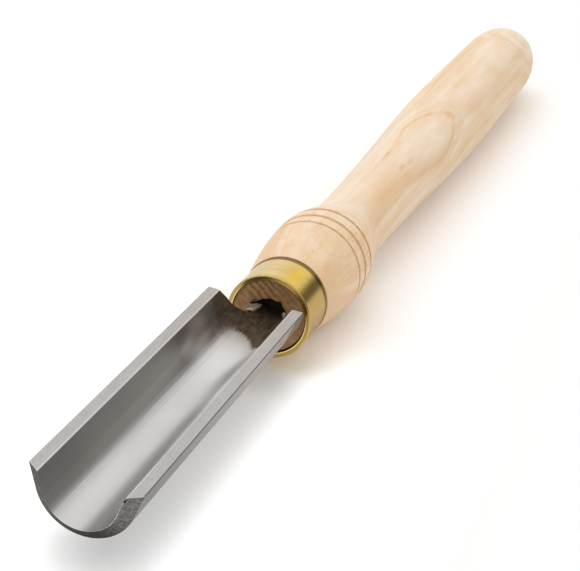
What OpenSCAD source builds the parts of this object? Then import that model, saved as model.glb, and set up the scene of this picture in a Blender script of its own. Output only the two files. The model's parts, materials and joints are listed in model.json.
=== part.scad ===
// Spindle roughing gouge: forged steel blade with its tang, brass ferrule, turned ash handle
// and the adhesive that beds the tang. Millimetres. The tool lies along X, flute up,
// cutting edge at -X and butt at +X. The origin is the centre of the bottom of its box.

/* [Blade] */
// Outside width across the two wings
blade_w = 32; // [26:0.5:40]
// Outside depth of the channel, from its round bottom to the wing tops
blade_depth = 17.4; // [14:0.2:22]
// Thickness of the steel
blade_wall = 3.7; // [2.6:0.1:4.8]
// Lean of each wing from upright, outwards, in degrees
wing_flare = 18; // [4:1:26]
// From the ferrule's front rim to the cutting edge at the wing tops
blade_reach = 143.8; // [100:1:190]
// From the ferrule's front rim to the square rear ends of the wings
wing_gap = 16.8; // [15:0.2:26]
// How far the outside of the channel's bottom lies below the tool's axis
blade_drop = 4.3; // [3.6:0.1:5]
// Angle of the ground bevel to the tool's axis, in degrees
bevel_angle = 48; // [35:1:60]
// Lean of the cutting edge, the wings leading the bottom, in degrees
nose_lean = 3; // [0:0.5:8]

/* [Tang] */
// Width of the tang where it enters the handle
tang_w = 10.4; // [9:0.1:12]
// Width of the tang at its end
tang_tip_w = 6; // [4:0.2:8]
// Length of the tang behind the ferrule's front rim
tang_len = 80; // [60:1:110]
// Length over which the tang keeps its full width behind the rim
tang_straight = 12; // [8:1:30]
// Slope of the shoulders behind the wings, seen from the side, in degrees
shoulder_angle = 45; // [38:1:55]
// Radius that draws the shoulders in to the tang, seen from above
shoulder_r = 12; // [8:0.5:16]
// How far behind the rim that radius meets the tang
shoulder_end = 4; // [2:0.5:6]
// Height left beside the tang by the shoulder cut
shoulder_land = 1; // [0.4:0.1:2]

/* [Ferrule] */
// Outside diameter of the ferrule
ferrule_d = 28.6; // [26:0.1:32]
// Wall of the ferrule
ferrule_wall = 1.7; // [1.2:0.1:2.5]
// Length of the ferrule
ferrule_len = 17.4; // [12:0.2:26]
// Rounding of the front rim's two edges
ferrule_round = 0.5; // [0.2:0.05:0.6]
// Clearance between the ferrule and the handle's tenon
ferrule_clear = 0.03; // [0.02:0.01:0.1]

/* [Handle] */
// How far the end grain sits behind the ferrule's front rim
end_recess = 0.6; // [0.2:0.1:2]
// How far the wood stands proud of the ferrule behind it
collar_step = 0.35; // [0.1:0.05:1]
// Diameter of the bulb at its widest
bulb_d = 36.2; // [33:0.2:40]
// From the ferrule's rear to the widest point of the bulb
bulb_run = 34.8; // [24:0.5:50]
// Diameter of the neck at its narrowest
neck_d = 26.8; // [22:0.2:32]
// From the bulb's widest point to the neck
neck_run = 31.4; // [20:0.5:50]
// Diameter of the grip at its widest
swell_d = 35.2; // [30:0.2:40]
// From the neck to the widest point of the grip
swell_run = 165.4; // [100:1:220]
// Diameter where the rounded butt begins
butt_d = 34.2; // [28:0.2:39]
// From the widest point of the grip to the rounded butt
tail_run = 83.2; // [40:1:130]
// Length of the rounded butt
dome_len = 38; // [16:1:60]

/* [Scored rings] */
// From the first ring back to the widest point of the bulb
ring_lead = 8.3; // [4:0.1:14]
// From the first ring to the second
ring_gap_1 = 6.3; // [3:0.1:10]
// From the second ring to the third
ring_gap_2 = 7.7; // [3:0.1:10]
// Depth of each ring
ring_depth = 0.45; // [0.2:0.05:1]
// Width of each ring at the surface
ring_w = 1.1; // [0.6:0.1:2]

/* [Bore] */
// Clearance between the tang's corners and the bore
bore_clear = 0.2; // [0.05:0.05:0.6]
// Length of the bore beyond the tang's end
bore_beyond = 4; // [1:0.5:12]
// Depth of the mouth that the adhesive leaves open above the tang
mouth_open = 9; // [4:0.5:20]

/* [Hidden] */
$fn = 96;
// Overlap of a cutting shape past the face that it cuts
over = 1;
// Number of straight steps along each run of the handle's outline
steps = 20;
// The channel's outer and inner radii about one centre, and the heights they lead to
outer_r = (blade_w/2*cos(wing_flare) - blade_depth*sin(wing_flare))/(1 - sin(wing_flare));
flute_r = outer_r - blade_wall;
centre_z = outer_r - blade_drop;
wing_top_z = blade_depth - blade_drop;
// Heights on the channel's two surfaces at the side of the tang
tang_low_z = centre_z - sqrt(outer_r*outer_r - tang_w*tang_w/4);
tang_high_z = centre_z - sqrt(flute_r*flute_r - tang_w*tang_w/4);
bore_r = bore_clear + max(blade_drop, norm([tang_w/2, tang_low_z]), norm([tang_w/2, tang_high_z]));
bore_end = tang_len + bore_beyond;
ferrule_r = ferrule_d/2;
tenon_r = ferrule_r - ferrule_wall - ferrule_clear;
collar_r = ferrule_r + collar_step;
// Stations along the axis, from the ferrule's front rim
bulb_x = ferrule_len + bulb_run;
neck_x = bulb_x + neck_run;
swell_x = neck_x + swell_run;
dome_x = swell_x + tail_run;
butt_x = dome_x + dome_len;
ring_xs = [bulb_x - ring_lead, bulb_x - ring_lead + ring_gap_1, bulb_x - ring_lead + ring_gap_1 + ring_gap_2];
// Half opening of the cutter for the rings, where it stands clear of the wood
ring_open = ring_w/2*(ring_depth + over)/ring_depth;
// Place of the tool's axis and of its ferrule rim in the part's own frame
axis_h = max(bulb_d, swell_d, butt_d, ferrule_d + 2*collar_step)/2;
mid_x = (butt_x - blade_reach)/2;

// A smooth step from 0 to 1, level at both ends
function ease(t) = (1 - cos(180*t))/2;

// Radius of the handle behind the ferrule, at x along the axis
function handle_r(x) =
    x < bulb_x ? collar_r + (bulb_d/2 - collar_r)*sin(90*(x - ferrule_len)/bulb_run) :
    x < neck_x ? bulb_d/2 + (neck_d - bulb_d)/2*ease((x - bulb_x)/neck_run) :
    x < swell_x ? neck_d/2 + (swell_d - neck_d)/2*ease((x - neck_x)/swell_run) :
    x < dome_x ? swell_d/2 + (butt_d - swell_d)/2*pow((x - swell_x)/tail_run, 2) :
    butt_d/2*sqrt(max(0, 1 - pow((x - dome_x)/dome_len, 2)));

// Points of the handle's outline over one run, its start included
function run_points(from, length) =
    [for (i = [0:steps - 1]) let (x = from + length*i/steps) [handle_r(x), x]];

// Points of the rounded butt, as an ellipse that ends on the axis
function dome_points() =
    [for (i = [0:steps]) let (a = 90*i/steps) [butt_d/2*cos(a), dome_x + dome_len*sin(a)]];

// Sets a shape that is modelled on the tool's axis in the part's own frame
module on_axis() {
    translate([-mid_x, 0, axis_h]) children();
}

// Turns a shape made along Z to lie along X
module along_x() {
    rotate([0, 90, 0]) children();
}

// Outline of the channel, seen along the tool, moved in by an offset from the outside
module channel_outline(inset, top) {
    r = outer_r - inset;
    side = (top - centre_z + r*sin(wing_flare))*tan(wing_flare);
    intersection() {
        union() {
            translate([0, centre_z]) circle(r);
            polygon([
                [-r*cos(wing_flare), centre_z - r*sin(wing_flare)],
                [r*cos(wing_flare), centre_z - r*sin(wing_flare)],
                [r*cos(wing_flare) + side, top],
                [-r*cos(wing_flare) - side, top]
            ]);
        }
        translate([-blade_w, -blade_w]) square([2*blade_w, blade_w + top]);
    }
}

// A solid of a channel outline, from one place to another along the axis
module channel_prism(from, to, inset, top) {
    translate([from, 0, 0]) rotate([90, 0, 90])
        linear_extrude(to - from) channel_outline(inset, top);
}

// Everything inside the ground bevel: a cone round the bottom, and a flat on each wing
module bevel_keep() {
    reach = blade_reach + tang_len + over;
    grow = tan(bevel_angle);
    lead = flute_r/grow/2;
    full = (blade_wall + over)/grow;
    drop = wing_top_z - centre_z;
    translate([-blade_reach, 0, wing_top_z]) rotate([0, -nose_lean, 0]) translate([0, 0, -drop/cos(nose_lean)]) {
        translate([-lead, 0, 0]) along_x()
            cylinder(h = lead + full, r1 = flute_r - lead*grow, r2 = outer_r + over);
        translate([full, -blade_w, -2*blade_depth]) cube([reach, 2*blade_w, 4*blade_depth]);
        intersection() {
            translate([-lead, -blade_w, -flute_r*sin(wing_flare)]) cube([lead + full + over, 2*blade_w, 2*blade_depth]);
            intersection_for (side = [0, 1])
                mirror([0, side, 0])
                    translate([0, flute_r*cos(wing_flare), -flute_r*sin(wing_flare)])
                    rotate([-wing_flare, 0, 0]) rotate([0, 0, bevel_angle])
                    translate([-reach, -reach, -reach]) cube([2*reach, reach, 2*reach]);
        }
    }
}

// What the shoulders and the tang lose at one side, seen from above
module plan_waste() {
    inner = tang_w/2 + shoulder_r;
    translate([shoulder_end, inner]) circle(shoulder_r);
    polygon([
        [shoulder_end, tang_w/2],
        [tang_straight, tang_w/2],
        [tang_len, tang_tip_w/2],
        [tang_len + over, tang_tip_w/2],
        [tang_len + over, blade_w],
        [shoulder_end - shoulder_r, blade_w],
        [shoulder_end - shoulder_r, inner],
        [shoulder_end, inner]
    ]);
}

// What the shoulders lose, seen from the side: a slope behind each wing, then a level land
module side_waste() {
    land_z = tang_high_z + shoulder_land;
    land_x = -wing_gap + (wing_top_z - land_z)/tan(shoulder_angle);
    polygon([
        [-wing_gap, wing_top_z],
        [land_x, land_z],
        [tang_len + over, land_z],
        [tang_len + over, wing_top_z + over],
        [-wing_gap, wing_top_z + over]
    ]);
}

// The blade and its tang, one forging
module blade_shape() {
    difference() {
        intersection() {
            channel_prism(-blade_reach - over, tang_len, 0, wing_top_z);
            bevel_keep();
        }
        channel_prism(-blade_reach - 2*over, tang_len + over, blade_wall, wing_top_z + over);
        for (side = [0, 1])
            mirror([0, side, 0]) translate([0, 0, -blade_depth]) linear_extrude(3*blade_depth) plan_waste();
        translate([0, blade_w, 0]) rotate([90, 0, 0]) linear_extrude(2*blade_w) side_waste();
    }
}

// The bore for the tang, between two places along the axis
module bore_cylinder(from, to) {
    translate([from, 0, 0]) along_x() cylinder(h = to - from, r = bore_r);
}

module blade() {
    color("silver") on_axis() blade_shape();
}

module ferrule() {
    color("goldenrod") on_axis() along_x() rotate_extrude() translate([ferrule_r - ferrule_wall, 0]) {
        translate([0, ferrule_round]) square([ferrule_wall, ferrule_len - ferrule_round]);
        translate([ferrule_round, 0]) square([ferrule_wall - 2*ferrule_round, ferrule_round]);
        for (x = [ferrule_round, ferrule_wall - ferrule_round])
            translate([x, ferrule_round]) circle(ferrule_round, $fn = 32);
    }
}

module handle() {
    color("burlywood") on_axis() difference() {
        along_x() rotate_extrude() polygon(concat(
            [[0, end_recess], [tenon_r, end_recess], [tenon_r, ferrule_len]],
            run_points(ferrule_len, bulb_run),
            run_points(bulb_x, neck_run),
            run_points(neck_x, swell_run),
            run_points(swell_x, tail_run),
            dome_points()
        ));
        bore_cylinder(end_recess - over, bore_end);
        along_x() rotate_extrude() for (x = ring_xs)
            translate([handle_r(x), x])
                polygon([[-ring_depth, 0], [over, -ring_open], [over, ring_open]]);
    }
}

module tang_adhesive() {
    color("ivory") on_axis() difference() {
        bore_cylinder(end_recess, bore_end);
        blade_shape();
        channel_prism(end_recess - over, end_recess + mouth_open, 0, bore_r + over);
    }
}

blade();
ferrule();
handle();
tang_adhesive();
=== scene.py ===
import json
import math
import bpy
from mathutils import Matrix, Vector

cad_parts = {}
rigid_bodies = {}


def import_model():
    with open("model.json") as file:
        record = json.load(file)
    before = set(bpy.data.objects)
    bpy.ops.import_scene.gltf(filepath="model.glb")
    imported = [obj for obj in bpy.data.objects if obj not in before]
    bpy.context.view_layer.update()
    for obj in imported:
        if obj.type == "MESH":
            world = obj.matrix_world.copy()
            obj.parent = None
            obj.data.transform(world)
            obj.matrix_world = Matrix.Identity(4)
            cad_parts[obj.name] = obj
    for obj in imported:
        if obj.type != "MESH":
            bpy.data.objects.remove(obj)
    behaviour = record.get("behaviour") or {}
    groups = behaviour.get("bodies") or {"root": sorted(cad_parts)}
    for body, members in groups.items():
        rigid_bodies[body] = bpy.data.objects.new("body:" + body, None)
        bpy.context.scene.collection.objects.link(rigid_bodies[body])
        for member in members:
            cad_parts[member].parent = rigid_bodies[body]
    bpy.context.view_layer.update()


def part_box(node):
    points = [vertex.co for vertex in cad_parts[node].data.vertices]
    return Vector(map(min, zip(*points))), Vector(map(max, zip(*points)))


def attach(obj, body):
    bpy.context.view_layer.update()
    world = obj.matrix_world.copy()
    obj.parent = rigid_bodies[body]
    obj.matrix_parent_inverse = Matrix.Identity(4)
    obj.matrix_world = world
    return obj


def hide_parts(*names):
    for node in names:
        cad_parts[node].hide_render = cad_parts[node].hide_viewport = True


bl_info = {
    "name": "Spindle Roughing Gouge",
    "version": (1, 0, 0),
    "blender": (4, 5, 0),
    "location": "3D View > Sidebar > Gouge",
    "description": "Dresses a spindle roughing gouge: steel blade, brass ferrule and turned ash handle",
    "category": "Object",
}

import bpy
from bpy.props import FloatProperty, FloatVectorProperty, IntProperty, PointerProperty
from mathutils import Matrix, Vector, noise

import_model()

MM = 0.001
BODY = "root"
SHARP_ANGLE = math.radians(30)

# Places that the frame gives: the ferrule's front rim, the tool's axis and each piece's box
BLADE_LOW, BLADE_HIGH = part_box("blade")
FERRULE_LOW, FERRULE_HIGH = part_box("ferrule")
HANDLE_LOW, HANDLE_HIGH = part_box("handle")
BED_LOW, BED_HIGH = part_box("tang_adhesive")
RIM_X = FERRULE_LOW.x
AXIS_Z = (FERRULE_LOW.z + FERRULE_HIGH.z) / 2


def length(name, description, default):
    """A size in metres that a user would change."""
    return FloatProperty(
        name=name, description=description, default=default, min=0, precision=5, unit="LENGTH")


def angle(name, description, degrees):
    """An angle that a user would change, written here in degrees."""
    return FloatProperty(name=name, description=description, default=math.radians(degrees), unit="ROTATION")


def level(name, description, default):
    """A share from 0 to 1."""
    return FloatProperty(name=name, description=description, default=default, min=0, max=1, subtype="FACTOR")


def tint(name, description, default):
    """A colour, as linear red, green and blue."""
    return FloatVectorProperty(name=name, description=description, default=default, subtype="COLOR", size=3)


class BladeSettings(bpy.types.PropertyGroup):
    """Sizes and colours of the forged blade and its tang."""

    width: length("Width", "Outside width across the two wings", BLADE_HIGH.y - BLADE_LOW.y)
    depth: length("Depth", "Outside depth of the channel", BLADE_HIGH.z - BLADE_LOW.z)
    wall: length("Wall", "Thickness of the steel", 3.7 * MM)
    flare: angle("Flare", "Lean of each wing from upright, outwards", 18)
    reach: length("Reach", "From the ferrule's rim to the cutting edge", RIM_X - BLADE_LOW.x)
    wing_gap: length("Wing gap", "From the ferrule's rim to the wings' rear ends", 16.8 * MM)
    drop: length("Drop", "How far the channel's bottom lies below the axis", AXIS_Z - BLADE_LOW.z)
    bevel: angle("Bevel", "Angle of the ground bevel to the axis", 48)
    nose_lean: angle("Nose lean", "Lean of the cutting edge, the wings leading", 3)
    tang_length: length("Tang length", "Tang behind the ferrule's rim", BLADE_HIGH.x - RIM_X)
    tang_width: length("Tang width", "Width of the tang at the rim", 10.4 * MM)
    tang_tip: length("Tang tip", "Width of the tang at its end", 6 * MM)
    tang_straight: length("Tang straight", "Length over which the tang keeps its width", 12 * MM)
    shoulder_angle: angle("Shoulder angle", "Slope of the shoulders on the flat pattern", 48)
    shoulder_radius: length("Shoulder radius", "Radius that draws the shoulders in to the tang", 12 * MM)
    arris: length("Arris", "Width of the small flat rubbed on each arris", 0.22 * MM)
    nick: length("Nick", "Depth of the nick at the right wing's corner", 0.55 * MM)
    pit_place: length("Pit place", "From the middle of the wall to the nick, on the right", 21.2 * MM)
    ragged: length("Ragged", "How ragged the wire edge is on the right", 0.20 * MM)
    polish_end: length("Polish end", "How far before the rim the polish of the flute stops", 16.2 * MM)
    round_edge: length("Round edge", "From the middle to where the walls' finish starts", 9.2 * MM)
    bright: tint("Bright steel", "Linished steel of the channel's round", (0.66, 0.65, 0.64))
    wall_steel: tint("Wall steel", "Duller steel of the channel's walls", (0.38, 0.365, 0.35))
    outer_steel: tint("Outer steel", "Dull linished steel of the blade's outside", (0.22, 0.207, 0.197))
    topped: tint("Ground steel", "Steel of the flat wing tops", (0.50, 0.485, 0.475))
    bevelled: tint("Bevel steel", "Coarsely ground steel of the bevel", (0.17, 0.158, 0.150))
    scale: tint("Forge scale", "Unpolished steel at the root", (0.105, 0.074, 0.044))


class FerruleSettings(bpy.types.PropertyGroup):
    """Sizes and colours of the brass ferrule."""

    diameter: length("Diameter", "Outside diameter", FERRULE_HIGH.y - FERRULE_LOW.y)
    length: length("Length", "Length along the axis", FERRULE_HIGH.x - FERRULE_LOW.x)
    wall: length("Wall", "Thickness of the brass", 1.7 * MM)
    edge_round: length("Edge round", "Rounding of the ring's edges", 0.3 * MM)
    segments: IntProperty(name="Segments", description="Faces round the ring", default=192, min=24)
    brass: tint("Brass", "Turned brass", (0.84, 0.585, 0.150))
    # Colour of the painted sheen on the left side and on the front rim's inner lip
    pale: tint("Pale brass", "Paler brass of the left side", (0.90, 0.720, 0.350))
    # Colour of the painted highlight on the ferrule's upper right
    rubbed: tint("Rubbed brass", "Yellower brass where it is rubbed bright", (0.86, 0.575, 0.070))
    # Also the colour of the painted shade low on the right and on the front rim
    dull: tint("Dull brass", "Brass where it has dulled", (0.46, 0.31, 0.085))
    # Colour of the painted shade across the rims
    olive: tint("Olive brass", "Dark brass of the rims", (0.13, 0.080, 0.014))


class HandleSettings(bpy.types.PropertyGroup):
    """Sizes and colours of the turned ash handle."""

    end_recess: length("End recess", "How far the end grain sits behind the rim", HANDLE_LOW.x - RIM_X)
    collar_step: length("Collar step", "How far the wood stands proud of the ferrule", 0.35 * MM)
    bulb_diameter: length("Bulb", "Diameter of the bulb", 2 * (HANDLE_HIGH.z - AXIS_Z))
    bulb_run: length("Bulb run", "From the ferrule's rear to the widest of the bulb", 34.8 * MM)
    neck_diameter: length("Neck", "Diameter of the neck", 26.8 * MM)
    neck_run: length("Neck run", "From the bulb's widest to the neck", 31.4 * MM)
    swell_diameter: length("Grip", "Diameter of the grip at its widest", 35.2 * MM)
    swell_run: length("Grip run", "From the neck to the grip's widest", 165.4 * MM)
    butt_diameter: length("Butt", "Diameter where the rounded butt begins", 34.2 * MM)
    dome_length: length("Dome", "Length of the rounded butt", 38 * MM)
    ring_lead: length("Ring lead", "From the first scored ring back to the bulb's widest", 8.3 * MM)
    ring_gap_1: length("First gap", "From the first scored ring to the second", 6.3 * MM)
    ring_gap_2: length("Second gap", "From the second scored ring to the third", 7.7 * MM)
    ring_depth: length("Ring depth", "Depth of each scored ring", 0.45 * MM)
    ring_width: length("Ring width", "Width of each scored ring", 1.1 * MM)
    bore_radius: length("Bore", "Radius of the bore for the tang", (BED_HIGH.y - BED_LOW.y) / 2)
    bore_end: length("Bore end", "Depth of the bore behind the rim", BED_HIGH.x - RIM_X)
    mouth_tear: length("Mouth tear", "How raggedly the bore's mouth is broken out", 0.75 * MM)
    tenon_slack: length("Tenon slack", "Gap between end grain and ferrule, low on the right", 0.4 * MM)
    year_width: length("Year width", "Width of one year's growth", 1.6 * MM)
    year_start: length("Year start", "Where a year starts, from the handle's axis", 11.6 * MM)
    pith_distance: length("Pith distance", "From the handle's axis to the tree's centre", 60 * MM)
    pith_turn: angle("Pith turn", "Turn of the growth rings' face from the top, to the right", 27)
    end_turn: angle("End turn", "Slant of the years on the end grain", 36)
    cream: tint("Cream", "Pale ash", (0.90, 0.735, 0.560))
    tan: tint("Tan", "Warm zones of the ash", (0.815, 0.545, 0.300))
    year_line: tint("Year line", "Line where each year starts", (0.74, 0.400, 0.140))
    pore: tint("Pore", "Open pores of the early wood", (0.56, 0.30, 0.14))
    scored: tint("Scored", "Burnished wood in the scored rings", (0.57, 0.270, 0.060))
    end_light: tint("End grain light", "Pale years on the end grain", (0.50, 0.290, 0.130))
    end_dark: tint("End grain dark", "Dark years on the end grain", (0.165, 0.080, 0.024))
    # Stain and painted shade: inside the bore, in the gap at the tenon and in a small pit by the mouth
    bore_dark: tint("Bore dark", "Stained wood inside the bore", (0.022, 0.010, 0.004))


class AdhesiveSettings(bpy.types.PropertyGroup):
    """Sizes and colour of the set adhesive round the tang."""

    colour: tint("Colour", "Set adhesive", (0.51, 0.43, 0.35))
    mouth_open: length("Mouth", "Depth of the mouth left open above the tang", 9 * MM)
    crumbs: IntProperty(name="Crumbs", description="How many crumbs lie at the mouth", default=26, min=0)
    crumb_size: length("Crumb size", "Radius of the largest crumbs", 0.13 * MM)
    seed: IntProperty(name="Seed", description="Seed of the crumbs' places", default=4)


class StageSettings(bpy.types.PropertyGroup):
    """The floor, the lamp, the studio and the camera."""

    floor_radius: length("Floor radius", "Radius of the round floor", 30)
    floor: tint("Floor", "Pale floor", (0.93, 0.925, 0.92))
    blade_lift: level("Blade lift", "How much the seen floor is lifted to white beside the blade", 0.50)
    handle_lift: level("Handle lift", "How much the seen floor is lifted beside the handle", 0.16)
    open_lift: level("Open lift", "How much the seen floor is lifted everywhere", 0.06)
    far_lift: level("Far lift", "How much the seen floor is lifted far from the tool", 0.20)
    shade_tint: tint("Shade tint", "Colour of the floor close under the wood", (0.93, 0.88, 0.83))
    shade_reach: length("Shade reach", "How far the close shade reaches", 0.023)
    lift_reach: length("Lift reach", "How far from the tool the floor is lifted", 0.10)
    sky: FloatProperty(name="Sky", description="Strength of the studio above the tool", default=0.99, min=0)
    low_sky: level("Low sky", "Strength of the studio near the horizon", 0.80)
    gap_sky: level("Gap", "Strength of the dark gap low on the right", 0.136)
    key: FloatProperty(name="Key", description="Power of the large lamp above", default=2.5, unit="POWER")
    lens: FloatProperty(name="Lens", description="Focal length", default=107.978, unit="CAMERA")
    camera_place: FloatVectorProperty(
        name="Camera place", description="Where the camera stands", unit="LENGTH",
        default=(-0.601123, -0.140304, 0.262006))
    camera_aim: FloatVectorProperty(
        name="Camera aim", description="Direction in which the camera looks",
        default=(0.877008, 0.242025, -0.415067))
    camera_right: FloatVectorProperty(
        name="Camera right", description="Direction of the picture's right side",
        default=(0.324582, -0.935379, 0.140402))


class Value:
    """A number, colour or place in a node tree. Sums on it add the nodes that work them out."""

    def __init__(self, nodes, socket):
        self.nodes = nodes
        self.socket = socket

    def __add__(self, other):
        return self.nodes.sum("ADD", self, other)

    def __sub__(self, other):
        return self.nodes.sum("SUBTRACT", self, other)

    def __rsub__(self, other):
        return self.nodes.sum("SUBTRACT", other, self)

    def __mul__(self, other):
        return self.nodes.sum("MULTIPLY", self, other)

    def __truediv__(self, other):
        return self.nodes.sum("DIVIDE", self, other)

    def __pow__(self, other):
        return self.nodes.sum("POWER", self, other)

    def __abs__(self):
        return self.nodes.math("ABSOLUTE", self)

    def step(self, low, high, to_low=0.0, to_high=1.0):
        """A smooth step, from to_low at low to to_high at high."""
        return self.nodes.remap(self, low, high, to_low, to_high, "SMOOTHSTEP")

    def ramp(self, low, high, to_low, to_high):
        """A straight change of range, held at its ends."""
        return self.nodes.remap(self, low, high, to_low, to_high, "LINEAR")


def toned(colour, share):
    """A colour made darker or lighter."""
    return [min(1, channel * share) for channel in colour]


class Nodes:
    """A node tree, written with short calls. Any input may be a number, a colour or a Value."""

    def __init__(self, tree):
        self.tree = tree
        self.tree.nodes.clear()

    def node(self, kind, values=(), **settings):
        """A node with its settings, and its inputs set or linked by name or number."""
        made = self.tree.nodes.new(kind)
        count = len(self.tree.nodes)
        made.location = (220 * (count % 10), -260 * (count // 10))
        for key, value in settings.items():
            setattr(made, key, value)
        for key, value in dict(values).items():
            if isinstance(value, Value):
                self.tree.links.new(value.socket, made.inputs[key])
            elif made.inputs[key].type == "RGBA" and len(value) == 3:
                made.inputs[key].default_value = (*value, 1)
            else:
                made.inputs[key].default_value = value
        return made

    def get(self, kind, values=(), out=0, **settings):
        """One output of a new node."""
        return Value(self, self.node(kind, values, **settings).outputs[out])

    def math(self, operation, first, second=0.0):
        return self.get("ShaderNodeMath", {0: first, 1: second}, operation=operation)

    def most(self, first, second):
        return self.math("MAXIMUM", first, second)

    def sum(self, operation, first, second):
        """Two values added, multiplied and so on, channel by channel where one is a colour or a place."""
        wide = [isinstance(value, (tuple, list)) or
                isinstance(value, Value) and value.socket.type in ("VECTOR", "RGBA")
                for value in (first, second)]
        kind = "ShaderNodeVectorMath" if any(wide) else "ShaderNodeMath"
        return self.get(kind, {0: first, 1: second}, operation=operation)

    def dot(self, vector, direction):
        return self.get("ShaderNodeVectorMath", {0: vector, 1: direction}, "Value", operation="DOT_PRODUCT")

    def apart(self, vector, place):
        """Distance between two places."""
        return self.get("ShaderNodeVectorMath", {0: vector, 1: place}, "Value", operation="DISTANCE")

    def split(self, vector):
        made = self.node("ShaderNodeSeparateXYZ", {0: vector})
        return [Value(self, out) for out in made.outputs]

    def join(self, x, y, z=0.0):
        return self.get("ShaderNodeCombineXYZ", {0: x, 1: y, 2: z})

    def remap(self, value, low, high, to_low, to_high, kind):
        values = {"Value": value, "From Min": low, "From Max": high, "To Min": to_low, "To Max": to_high}
        return self.get("ShaderNodeMapRange", values, interpolation_type=kind)

    def noise(self, vector, detail=2.0, rough=0.5, twist=0.0, out=0):
        values = {"Vector": vector, "Scale": 1.0, "Detail": detail, "Roughness": rough, "Distortion": twist}
        return self.get("ShaderNodeTexNoise", values, out)

    def cells(self, vector):
        """Distance from the nearest cell's centre, and a chance from 0 to 1 that is the cell's own."""
        made = self.node("ShaderNodeTexVoronoi", {"Vector": vector, "Scale": 1.0})
        return Value(self, made.outputs["Distance"]), self.split(Value(self, made.outputs["Color"]))[0]

    def mix(self, share, first, second):
        """A mix of two colours."""
        return self.get("ShaderNodeMix", {0: share, 6: first, 7: second}, 2, data_type="RGBA")

    def layers(self, colour, *layers):
        """A colour with shares of others laid over it in turn."""
        for share, over in layers:
            colour = self.mix(share, colour, over)
        return colour

    def blend(self, share, first, second):
        """A mix of two numbers."""
        return self.get("ShaderNodeMix", {0: share, 2: first, 3: second}, data_type="FLOAT")

    def bump(self, height, distance, strength):
        return self.get("ShaderNodeBump", {"Height": height, "Distance": distance, "Strength": strength})

    def attribute(self, name, out="Fac"):
        return self.get("ShaderNodeAttribute", out=out, attribute_name=name)

    def rays(self, *kinds):
        """1 for rays of any of these kinds."""
        path = self.node("ShaderNodeLightPath")
        found = Value(self, path.outputs["Is %s Ray" % kinds[0]])
        for kind in kinds[1:]:
            found = self.most(found, Value(self, path.outputs["Is %s Ray" % kind]))
        return found


class Shade(Nodes):
    """A material's nodes."""

    def __init__(self, name):
        self.material = bpy.data.materials.new(name)
        self.material.use_nodes = True
        super().__init__(self.material.node_tree)

    def tool_place(self):
        """Place on the object in millimetres, from the ferrule's rim and the tool's axis."""
        place = self.get("ShaderNodeTexCoord", out="Object")
        return (place + (-RIM_X, 0, -AXIS_Z)) * ((1 / MM,) * 3)

    def spot(self, place, centre, reach):
        """1 at a spot's centre and 0 past its reach along each axis, in millimetres."""
        near = (place + [-c for c in centre]) * [1 / r for r in reach]
        return self.get("ShaderNodeVectorMath", {0: near}, "Value", operation="LENGTH").step(0.25, 1.0, 1, 0)

    def surface(self, colour, rough, normal, metallic=0.0, **more):
        """Ends the material in a Principled shader. More inputs are named with _ for a space."""
        values = {"Base Color": colour, "Roughness": rough, "Normal": normal, "Metallic": metallic}
        values.update({name.replace("_", " "): value for name, value in more.items()})
        shader = self.get("ShaderNodeBsdfPrincipled", values)
        self.node("ShaderNodeOutputMaterial", {"Surface": shader})
        return self.material


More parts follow.
